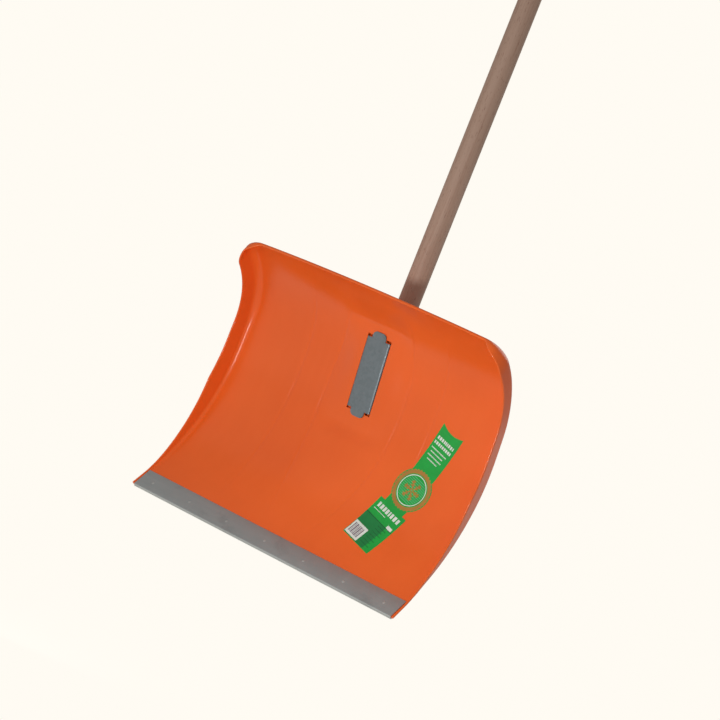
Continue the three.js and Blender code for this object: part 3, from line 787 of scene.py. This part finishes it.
def add_bracket(material):
    stations = bracket_stations()
    half_steps = 6
    outer_skin = []
    inner_skin = []
    for along in stations:
        width = tongue_half_width(along)
        body = clamp(along, TONGUE_LENGTH, PLATE_LENGTH - TONGUE_LENGTH)
        outer, inner = channel_section(body)
        plate = [width * k / half_steps for k in range(half_steps - 1, -1, -1)]
        outer = outer[:-1] + [(width, outer[-1][1])] + [(x, outer[-1][1]) for x in plate]
        inner = inner[:-1] + [(width, inner[-1][1])] + [(x, inner[-1][1]) for x in plate]
        for skin, half in ((outer_skin, outer), (inner_skin, inner)):
            whole = [(-x, out) for x, out in half] + [(x, out) for x, out in reversed(half[:-1])]
            skin.append([on_pad(x, along, out) for x, out in whole])
    columns = len(outer_skin[0])
    side_columns = (columns - 2 * half_steps - 1) // 2
    points = [p for row in outer_skin for p in row] + [p for row in inner_skin for p in row]

    def outside_tongue(j, i):
        middle = (stations[j] + stations[j + 1]) / 2
        on_tongue = not TONGUE_LENGTH < middle < PLATE_LENGTH - TONGUE_LENGTH
        return on_tongue and not side_columns <= i < columns - 1 - side_columns

    faces, open_edges = two_skins(len(stations), columns, outside_tongue)
    faces += open_edges.values()
    used = sorted({index for face in faces for index in face})
    order = {index: k for k, index in enumerate(used)}
    bracket = new_object("clamp_bracket_fine", [points[index] for index in used],
                         [tuple(order[index] for index in face) for face in faces], sharp=30)
    cut(bracket, bolt_holes(BOLT_HOLE_RADIUS, 40))
    bevel(bracket, 0.35, 3, 50)
    piece(bracket, "bracket_steel", material, "clamp_bracket")


# ---- Bolts, nuts and washers ----
WASHER_FACE = PLATE_HALF_WIDTH + GAP
washer_outer = WASHER_FACE + WASHER_THICKNESS
THREAD_SIDES = 32
ROUND_SIDES = 48
BOLT_PAST_NUT = 3
THREAD_INSIDE = 4                   # of the far flange, where the thread starts


def hex_prism(name, start, end, z, chamfer_start, chamfer_end):
    """A hexagonal prism along X whose corners are turned down to a cone at the chosen ends."""
    sides = ROUND_SIDES
    flat = HEX_RADIUS * math.cos(math.pi / 6)
    stations = [start, lerp(start, end, 0.16), lerp(start, end, 0.84), end]
    points = []
    for k, x in enumerate(stations):
        turned = (k == 0 and chamfer_start) or (k == 3 and chamfer_end)
        for i in range(sides):
            angle = 2 * math.pi * i / sides
            wedge = (angle + math.pi / 6) % (math.pi / 3) - math.pi / 6
            radius = flat if turned else flat / math.cos(wedge)
            points.append(metres(x, radius * math.cos(angle), radius * math.sin(angle) + z))
    return new_object(name, points, ring_faces(4, sides), sharp=25)


def thread_points(start, end, z, radius):
    """Rings of a helical thread along X, each with the thread's height at its own angle."""
    steps = round(abs(end - start) / THREAD_PITCH * 8)
    points = []
    for j in range(steps + 1):
        x = lerp(start, end, j / steps)
        for i in range(THREAD_SIDES):
            angle = 2 * math.pi * i / THREAD_SIDES
            phase = (x / THREAD_PITCH - i / THREAD_SIDES) % 1
            depth = THREAD_DEPTH * abs(2 * phase - 1)
            fade = smooth(0, 1, abs(x - start)) * smooth(0, 1, abs(end - x))
            r = radius - depth * fade - (1 - smooth(0, 0.6, abs(end - x))) * 0.5
            points.append(metres(x, r * math.cos(angle), r * math.sin(angle) + z))
    return points, steps + 1


def add_bolt(number, z, material):
    seat = washer_outer + GAP
    head = hex_prism(f"clamp_bolt_{number}_head", seat, seat + HEAD_THICKNESS, z, False, True)
    bevel(head, 0.15, 2, 25)
    piece(head, "bolt_steel", material)
    end = -(seat + NUT_THICKNESS + BOLT_PAST_NUT)
    points, rings = thread_points(-PLATE_HALF_WIDTH + THREAD_INSIDE, end, z, BOLT_RADIUS)
    smooth_end = -PLATE_HALF_WIDTH + THREAD_INSIDE + 0.5
    profile = [(BOLT_RADIUS, seat + 1), (BOLT_RADIUS, smooth_end)]
    smooth_part = turned_points(profile, THREAD_SIDES, across_at(z))
    shank = new_object(f"clamp_bolt_{number}_shank", smooth_part + points,
                       ring_faces(rings + 2, THREAD_SIDES), sharp=80)
    piece(shank, "bolt_steel", material, f"clamp_bolt_{number}")


def add_nut(number, z, material):
    start = -(washer_outer + GAP)
    nut = hex_prism(f"clamp_nut_{number}_fine", start, start - NUT_THICKNESS, z, True, True)
    radius = BOLT_HOLE_RADIUS - 0.2
    cut(nut, [lathe("bore", [(radius, start - 20), (radius, start + 20)], ROUND_SIDES, across_at(z))])
    bevel(nut, 0.15, 2, 25)
    piece(nut, "bolt_steel", material, f"clamp_nut_{number}")


def add_washer(name, side, z, material):
    low = side * WASHER_FACE
    high = side * washer_outer
    chamfer = side * 0.2
    outer, bore = WASHER_RADIUS, BOLT_HOLE_RADIUS
    profile = [(outer - 0.2, low), (outer, low + chamfer), (outer, high - chamfer), (outer - 0.2, high),
               (bore + 0.1, high), (bore, high - chamfer), (bore, low + chamfer), (bore + 0.1, low)]
    sides = ROUND_SIDES
    points = turned_points(profile, sides, across_at(z))
    count = len(profile)
    faces = [(j * sides + i, j * sides + (i + 1) % sides,
              (j + 1) % count * sides + (i + 1) % sides, (j + 1) % count * sides + i)
             for j in range(count) for i in range(sides)]
    piece(new_object(f"{name}_fine", points, faces), "bolt_steel", material, name)


# ---- Label ----
LABEL_FOIL = 0.25
PRINT_LIFT = 0.06
label_dx = LABEL_HEAD[0] - LABEL_FOOT[0]
label_ds = LABEL_HEAD[1] - LABEL_FOOT[1]
label_length = math.hypot(label_dx, label_ds)


def on_label(u, v, lift=0.0):
    """A point of the label: v up its centre line from the foot, u to its right."""
    v -= LABEL_SKEW * u
    x = LABEL_FOOT[0] + (label_dx * v + label_ds * u) / label_length
    s = LABEL_FOOT[1] + (label_ds * v - label_dx * u) / label_length
    return face_point(x, s, LABEL_FOIL + lift)


def label_sides(v):
    """The label's left and right side at v: block, ribbon and, over it, the disc."""
    width = LABEL_BLOCK_HALF_WIDTH if v <= LABEL_BLOCK_LENGTH else LABEL_RIBBON_HALF_WIDTH
    reach = math.sqrt(max(LABEL_DISC_RADIUS ** 2 - (v - LABEL_DISC_ALONG) ** 2, 0))
    return min(-width, LABEL_DISC_ACROSS - reach), max(width, LABEL_DISC_ACROSS + reach)


RIBBON_NOTCH = 6
LABEL_COLUMNS = 16


def ribbon_end(u):
    """The ribbon's upper end is cut in a hollow curve between two points."""
    share = u / LABEL_RIBBON_HALF_WIDTH
    return label_length - RIBBON_NOTCH * (1 - share * share)


def label_rows():
    """Values of v for the rows; the block's upper edge has two rows, a hair apart."""
    block = [LABEL_BLOCK_LENGTH * k / 20 for k in range(21)]
    ribbon = [lerp(LABEL_BLOCK_LENGTH + 0.01, label_length - RIBBON_NOTCH, k / 90) for k in range(91)]
    return block + ribbon


def sheet_on_face(name, grid, low, high):
    """A thin closed sheet from a grid of (u, v) rows, between two heights over the label's surface."""
    points = [on_label(u, v, lift) for lift in (high, low) for row in grid for u, v in row]
    faces, open_edges = two_skins(len(grid), len(grid[0]))
    return new_object(name, points, faces + list(open_edges.values()))


def add_label(materials):
    grid = []
    for v in label_rows():
        left, right = label_sides(v)
        grid.append([(lerp(left, right, i / LABEL_COLUMNS), v) for i in range(LABEL_COLUMNS + 1)])
    last = label_length - RIBBON_NOTCH
    for k in range(1, 5):
        row = []
        for i in range(LABEL_COLUMNS + 1):
            u = LABEL_RIBBON_HALF_WIDTH * (2 * i / LABEL_COLUMNS - 1)
            row.append((u, lerp(last, ribbon_end(u) + 0.01 * k, k / 4)))
        grid.append(row)
    foil = sheet_on_face("front_label_fine", grid, -LABEL_FOIL + 0.02, 0)
    piece(foil, "label_foil", materials["green"], "front_label")
    add_label_print(materials)


def patch(u0, u1, v0, v1, steps=6):
    """Grid of a rectangle on the label."""
    across = max(2, round(abs(u1 - u0) / 3))
    return [[(lerp(u0, u1, i / across), lerp(v0, v1, j / steps)) for i in range(across + 1)]
            for j in range(steps + 1)]


def disc_band(inner, outer, teeth=0):
    """Two half rings round the disc's centre, with a wavy outer edge if it has teeth."""
    steps = 120
    halves = []
    for start in (0, 1):
        rows = []
        for k in range(steps + 1):
            angle = (start + k / steps) * math.pi
            reach = outer - (0.9 * (1 + math.cos(angle * teeth)) if teeth else 0)
            rows.append([on_disc(radius * math.cos(angle), radius * math.sin(angle))
                         for radius in (inner, (inner + reach) / 2, reach)])
        halves.append(rows)
    return halves


def on_disc(u, v):
    return LABEL_DISC_ACROSS + u, LABEL_DISC_ALONG + v


def bar(u0, v0, u1, v1, width):
    """Grid of a straight bar between two points of the label."""
    length = math.hypot(u1 - u0, v1 - v0)
    nu, nv = -(v1 - v0) / length * width / 2, (u1 - u0) / length * width / 2
    steps = max(2, round(length / 3))
    return [[(lerp(u0, u1, k / steps) + side * nu, lerp(v0, v1, k / steps) + side * nv)
             for side in (-1, 0, 1)] for k in range(steps + 1)]


def print_object(name, grids, material, level=1):
    """Joins flat printed shapes into one piece, a hair above the foil."""
    parts = [sheet_on_face(name, grid, PRINT_LIFT * (level - 0.7), PRINT_LIFT * level) for grid in grids]
    points = []
    faces = []
    for part in parts:
        base = len(points)
        points += [vertex.co.copy() for vertex in part.data.vertices]
        faces += [tuple(base + index for index in polygon.vertices) for polygon in part.data.polygons]
        bpy.data.objects.remove(part)
    piece(new_object(name, points, faces), "label_foil", material)


def snow_crystal():
    """Grids of a plain six-armed snow crystal in the middle of the disc."""
    grids = []
    for k in range(6):
        angle = k * 60 * DEG
        du, dv = math.cos(angle), math.sin(angle)
        grids.append(bar(*on_disc(1.5 * du, 1.5 * dv), *on_disc(17 * du, 17 * dv), 2.4))
        for reach in (7, 12):
            for turn in (-50, 50):
                bu = reach * du + math.cos(angle + turn * DEG) * 5
                bv = reach * dv + math.sin(angle + turn * DEG) * 5
                grids.append(bar(*on_disc(reach * du, reach * dv), *on_disc(bu, bv), 1.8))
    return grids


def add_label_print(materials):
    """Rows of plain blocks in place of text, a gold ring, a white ring and a snow crystal."""
    white = blocks(-19, 16, 214, 5.4) + blocks(-20, 18, 205, 4.8)
    for k, half in enumerate((17, 14, 16, 12)):
        v = 195.5 - 6.3 * k
        white += blocks(-half - 2, half - 3, v, 1.9)
    white += blocks(-26, 24, 71, 8.5)
    white += blocks(-28, 2, 62, 1.2)
    white.append(bar(17, 54, 29, 54, 6))
    print_object("label_print_white", white, materials["white"])
    print_object("label_print_gold", disc_band(28, 35.5, teeth=36), materials["gold"])
    print_object("label_print_ring", disc_band(24.8, 26.2), materials["white"])
    print_object("label_print_stripes", disc_stripes(), materials["light_green"])
    print_object("label_print_emblem", snow_crystal(), materials["gold"], level=2)
    dark = [patch(-LABEL_BLOCK_HALF_WIDTH, 18, 1, 50)]
    print_object("label_print_shade", dark, materials["shade_green"])
    lines = [patch(-LABEL_BLOCK_HALF_WIDTH, LABEL_BLOCK_HALF_WIDTH, 50.0, 51.2)]
    for k in range(7):
        lines += blocks(4, 24 - 3 * (k % 2), 45 - 6 * k, 1.2)
    print_object("label_print_dark", lines, materials["dark_green"], level=2)
    print_object("label_print_field", [patch(-32, -1, 2, 29)], materials["white"], level=2)
    print_object("label_print_bars", barcode(), materials["bar"], level=3)


def disc_stripes():
    """Fine parallel stripes that fill the disc inside the white ring."""
    grids = []
    for k in range(-6, 7):
        v = 3.3 * k
        half = math.sqrt(STRIPE_REACH ** 2 - v ** 2)
        grids.append(bar(*on_disc(-half, v), *on_disc(half, v), 1.1))
    return grids


def blocks(u0, u1, v, height):
    """A row of small upright blocks of uneven widths and gaps, like a line of print."""
    chance = random.Random(round(10 * v))
    grids = []
    u = u0
    while u < u1:
        width = height * chance.uniform(0.35, 0.75)
        grids.append(patch(u, u + width, v - height / 2, v + height / 2, 2))
        u += width + height * chance.uniform(0.18, 0.32)
    return grids


def barcode():
    """Upright bars of uneven widths, which stand for no number."""
    widths = (2.0, 0.9, 2.6, 0.9, 1.6, 2.6, 1.0, 2.0)
    grids = []
    u = -28.5
    for width in widths:
        grids.append(patch(u, u + width, 6, 25, 2))
        u += width + 1.3
    return grids


# ---- Materials ----
class Look:
    """A Principled material whose inputs are wired to procedural nodes."""

    def __init__(self, name, **constants):
        self.material = bpy.data.materials.new(name)
        self.material.use_nodes = True
        self.nodes = self.material.node_tree.nodes
        self.links = self.material.node_tree.links
        self.shader = self.nodes["Principled BSDF"]
        for key, value in constants.items():
            self.shader.inputs[key.replace("_", " ")].default_value = value
        self.place = self.nodes.new("ShaderNodeTexCoord").outputs["Object"]

    def scaled(self, x, y, z):
        mapping = self.nodes.new("ShaderNodeMapping")
        mapping.inputs["Scale"].default_value = (x, y, z)
        self.links.new(self.place, mapping.inputs["Vector"])
        return mapping.outputs["Vector"]

    def noise(self, scale, detail=3.0, roughness=0.5, vector=None, distortion=0.0):
        node = self.nodes.new("ShaderNodeTexNoise")
        node.inputs["Scale"].default_value = scale
        node.inputs["Detail"].default_value = detail
        node.inputs["Roughness"].default_value = roughness
        node.inputs["Distortion"].default_value = distortion
        self.links.new(vector or self.place, node.inputs["Vector"])
        return node.outputs["Fac"]

    def voronoi(self, scale):
        node = self.nodes.new("ShaderNodeTexVoronoi")
        node.inputs["Scale"].default_value = scale
        self.links.new(self.place, node.inputs["Vector"])
        return node.outputs["Color"]

    def ramp(self, factor, stops):
        node = self.nodes.new("ShaderNodeValToRGB")
        elements = node.color_ramp.elements
        while len(elements) < len(stops):
            elements.new(0.5)
        for element, (position, colour) in zip(elements, stops):
            element.position = position
            element.color = (*colour, 1)
        self.links.new(factor, node.inputs["Fac"])
        return node.outputs["Color"]

    def span(self, factor, low, high, to_low, to_high):
        node = self.nodes.new("ShaderNodeMapRange")
        for key, value in (("From Min", low), ("From Max", high), ("To Min", to_low), ("To Max", to_high)):
            node.inputs[key].default_value = value
        self.links.new(factor, node.inputs["Value"])
        return node.outputs["Result"]

    def mix(self, factor, first, second):
        """Mixes the colour output first with the plain colour second."""
        node = self.nodes.new("ShaderNodeMix")
        node.data_type = "RGBA"
        self.links.new(factor, node.inputs[0])
        self.links.new(first, node.inputs[6])
        node.inputs[7].default_value = (*second, 1)
        return node.outputs[2]

    def bump(self, height, strength, distance):
        node = self.nodes.new("ShaderNodeBump")
        node.inputs["Strength"].default_value = strength
        node.inputs["Distance"].default_value = distance
        self.links.new(height, node.inputs["Height"])
        self.links.new(node.outputs["Normal"], self.shader.inputs["Normal"])

    def wire(self, output, name):
        self.links.new(output, self.shader.inputs[name])


def orange_plastic():
    look = Look("orange_plastic", IOR=1.49, Specular_IOR_Level=0.28)
    broad = look.noise(5, 2)
    colour = look.ramp(broad, [(0.3, (0.70, 0.102, 0.013)), (0.7, (0.78, 0.122, 0.017))])
    flow = look.noise(60, 4, 0.6, look.scaled(1, 1, 0.12))
    colour = look.mix(look.span(flow, 0.35, 0.75, 0, 0.15), colour, (0.80, 0.14, 0.025))
    look.wire(colour, "Base Color")
    haze = look.noise(14, 4, 0.6)
    look.wire(look.span(haze, 0.2, 0.8, 0.2, 0.24), "Roughness")
    fine = look.noise(1400, 2)
    look.bump(fine, 0.12, 0.0002)
    return look.material


def dull_aluminium(name, tone, smudges):
    look = Look(name, Metallic=0.75)
    lengthwise = look.noise(90, 5, 0.6, look.scaled(0.08, 1, 1))
    base = tuple(0.92 * part for part in tone)
    colour = look.ramp(lengthwise, [(0.3, base), (0.7, tone)])
    patch_mask = look.noise(16, 5, 0.65, distortion=0.4)
    smudge = tuple(0.55 * part for part in tone)
    colour = look.mix(look.span(patch_mask, 0.56, 0.72, 0, smudges), colour, smudge)
    look.wire(colour, "Base Color")
    look.wire(look.span(look.noise(45, 4), 0.3, 0.7, 0.38, 0.58), "Roughness")
    scratches = look.noise(700, 3, 0.6, look.scaled(0.03, 1, 1))
    look.bump(scratches, 0.25, 0.0002)
    return look.material


def galvanised_steel():
    look = Look("galvanised_steel", Metallic=0.7)
    grey = look.nodes.new("ShaderNodeRGBToBW")
    look.links.new(look.voronoi(230), grey.inputs[0])
    colour = look.ramp(grey.outputs[0], [(0.2, (0.128, 0.154, 0.168)), (0.8, (0.148, 0.175, 0.192))])
    stain = look.noise(55, 4, 0.6)
    colour = look.mix(look.span(stain, 0.55, 0.75, 0, 0.3), colour, (0.10, 0.118, 0.13))
    look.wire(colour, "Base Color")
    look.wire(look.span(grey.outputs[0], 0, 1, 0.36, 0.52), "Roughness")
    look.bump(look.noise(900, 3), 0.15, 0.0002)
    return look.material


def bright_zinc():
    look = Look("bright_zinc", Metallic=0.9)
    tone = look.noise(250, 3)
    look.wire(look.ramp(tone, [(0.3, (0.50, 0.51, 0.50)), (0.7, (0.62, 0.62, 0.59))]), "Base Color")
    look.wire(look.span(look.noise(500, 3), 0.3, 0.7, 0.25, 0.42), "Roughness")
    look.bump(look.noise(1800, 2), 0.1, 0.0001)
    return look.material


def beech_wood():
    look = Look("beech_wood", IOR=1.45)
    warped = look.noise(20, 4, 0.6, look.scaled(1, 1, 0.05), 1.2)
    tones = [(0.25, (0.29, 0.18, 0.128)), (0.5, (0.345, 0.22, 0.16)), (0.75, (0.40, 0.265, 0.197))]
    colour = look.ramp(warped, tones)
    lines = look.noise(420, 3, 0.6, look.scaled(1, 1, 0.02))
    colour = look.mix(look.span(lines, 0.5, 0.72, 0, 0.5), colour, (0.26, 0.14, 0.09))
    flecks = look.noise(900, 1, 0.4, look.scaled(1, 1, 0.12))
    colour = look.mix(look.span(flecks, 0.66, 0.72, 0, 0.75), colour, (0.17, 0.08, 0.05))
    look.wire(colour, "Base Color")
    look.wire(look.span(lines, 0.3, 0.7, 0.5, 0.66), "Roughness")
    look.bump(lines, 0.3, 0.0003)
    return look.material


def printed_foil(name, tone):
    look = Look(name, IOR=1.5, Specular_IOR_Level=0.3)
    shade = tuple(0.88 * part for part in tone)
    look.wire(look.ramp(look.noise(60, 3), [(0.35, shade), (0.65, tone)]), "Base Color")
    look.wire(look.span(look.noise(180, 3), 0.3, 0.7, 0.28, 0.4), "Roughness")
    look.bump(look.noise(220, 2), 0.08, 0.0003)
    return look.material


# ---- Surroundings ----
CREAM = (1.0, 0.966, 0.896)
AMBIENT = 0.4
SUNS = (
    # name, azimuth it shines from (0 is the front, positive to the right), elevation, strength, softness
    ("key", -4, 1, 0.22, 10),
    ("fill", -40, 10, 0.2, 60),
    ("back", 180, 40, 0.9, 50),
)
SOFTBOX_PLACE = (0.5, -1.3, -1.4)
SOFTBOX_TARGET = (-0.05, -0.05, -1.24)
SOFTBOX_SIZE = 0.16
SOFTBOX_POWER = 9.6
DOME_RADIUS = 40
FLOOR_RADIUS = 39.5
FLOOR_SHARE = 0.0005                # of the floor's brightness that comes from the lights


def add_suns():
    for name, azimuth, elevation, strength, softness in SUNS:
        data = bpy.data.lights.new(name, "SUN")
        data.energy = strength
        data.angle = math.radians(softness)
        light = bpy.data.objects.new(name, data)
        a, e = math.radians(azimuth), math.radians(elevation)
        source = Vector((math.sin(a) * math.cos(e), -math.cos(a) * math.cos(e), math.sin(e)))
        light.rotation_euler = source.to_track_quat("Z", "Y").to_euler()
        bpy.context.scene.collection.objects.link(light)


def add_softbox():
    """A soft light close in front of the scoop, which reaches into its corners."""
    data = bpy.data.lights.new("softbox", "AREA")
    data.energy = SOFTBOX_POWER
    data.size = SOFTBOX_SIZE
    light = bpy.data.objects.new("softbox", data)
    light.location = SOFTBOX_PLACE
    towards = Vector(SOFTBOX_TARGET) - Vector(SOFTBOX_PLACE)
    light.rotation_euler = towards.to_track_quat("-Z", "Y").to_euler()
    light.visible_camera = False
    bpy.context.scene.collection.objects.link(light)


def add_world():
    world = bpy.data.worlds.new("studio")
    world.use_nodes = True
    world.node_tree.nodes["Background"].inputs["Color"].default_value = (1, 0.99, 0.97, 1)
    world.node_tree.nodes["Background"].inputs["Strength"].default_value = AMBIENT
    bpy.context.scene.world = world
    bpy.context.scene.view_settings.view_transform = "Standard"


def emission_material(name, colour):
    material = bpy.data.materials.new(name)
    material.use_nodes = True
    nodes = material.node_tree.nodes
    nodes.remove(nodes["Principled BSDF"])
    glow = nodes.new("ShaderNodeEmission")
    glow.inputs["Color"].default_value = (*colour, 1)
    material.node_tree.links.new(glow.outputs[0], nodes["Material Output"].inputs["Surface"])
    return material


def add_backdrop(low):
    work = bmesh.new()
    bmesh.ops.create_uvsphere(work, u_segments=64, v_segments=32, radius=DOME_RADIUS)
    mesh = bpy.data.meshes.new("dome")
    work.to_mesh(mesh)
    work.free()
    dome = bpy.data.objects.new("dome", mesh)
    mesh.materials.append(emission_material("backdrop_glow", CREAM))
    dome.visible_diffuse = False
    dome.visible_glossy = False
    dome.visible_transmission = False
    dome.visible_shadow = False
    bpy.context.scene.collection.objects.link(dome)
    work = bmesh.new()
    bmesh.ops.create_circle(work, cap_ends=True, segments=96, radius=FLOOR_RADIUS)
    mesh = bpy.data.meshes.new("floor")
    work.to_mesh(mesh)
    work.free()
    floor = bpy.data.objects.new("floor", mesh)
    floor.location.z = low.z
    mesh.materials.append(floor_material())
    bpy.context.scene.collection.objects.link(floor)
    floor.visible_diffuse = False


def floor_material():
    """Pale floor whose colour in this light equals the backdrop's; nearly all of it is its own glow."""
    light = AMBIENT + sum(strength * math.sin(math.radians(elevation)) / math.pi
                          for _, _, elevation, strength, _ in SUNS)
    material = bpy.data.materials.new("pale_floor")
    material.use_nodes = True
    shader = material.node_tree.nodes["Principled BSDF"]
    albedo = [FLOOR_SHARE * part / light for part in CREAM]
    shader.inputs["Base Color"].default_value = (*albedo, 1)
    shader.inputs["Roughness"].default_value = 1
    shader.inputs["Specular IOR Level"].default_value = 0
    missing = [part - share * light for part, share in zip(CREAM, albedo)]
    shader.inputs["Emission Color"].default_value = (*missing, 1)
    shader.inputs["Emission Strength"].default_value = 1
    return material


# ---- Building ----
plastic = orange_plastic()
add_blade(plastic)
add_handle_seat(plastic)
add_wear_edge(dull_aluminium("edge_aluminium", (0.385, 0.40, 0.395), 0.5))
rivet_metal = dull_aluminium("rivet_aluminium", (0.50, 0.51, 0.49), 0.2)
for number, x in enumerate(rivet_places, 1):
    add_rivet(number, x, rivet_metal)
add_handle(beech_wood())
add_bracket(galvanised_steel())
zinc = bright_zinc()
for number, z in enumerate(BOLT_HEIGHTS, 1):
    add_bolt(number, z, zinc)
    add_nut(number, z, zinc)
    add_washer(f"head_washer_{number}", 1, z, zinc)
    add_washer(f"nut_washer_{number}", -1, z, zinc)
add_label({
    "green": printed_foil("label_green", (0.010, 0.33, 0.045)),
    "white": printed_foil("label_white", (0.66, 0.71, 0.64)),
    "gold": printed_foil("label_gold", (0.38, 0.185, 0.035)),
    "light_green": printed_foil("label_light_green", (0.10, 0.48, 0.20)),
    "shade_green": printed_foil("label_shade_green", (0.010, 0.19, 0.045)),
    "dark_green": printed_foil("label_dark_green", (0.006, 0.10, 0.025)),
    "bar": printed_foil("label_bar", (0.20, 0.14, 0.18)),
})

add_world()
add_suns()
add_softbox()
add_backdrop(cad_low)
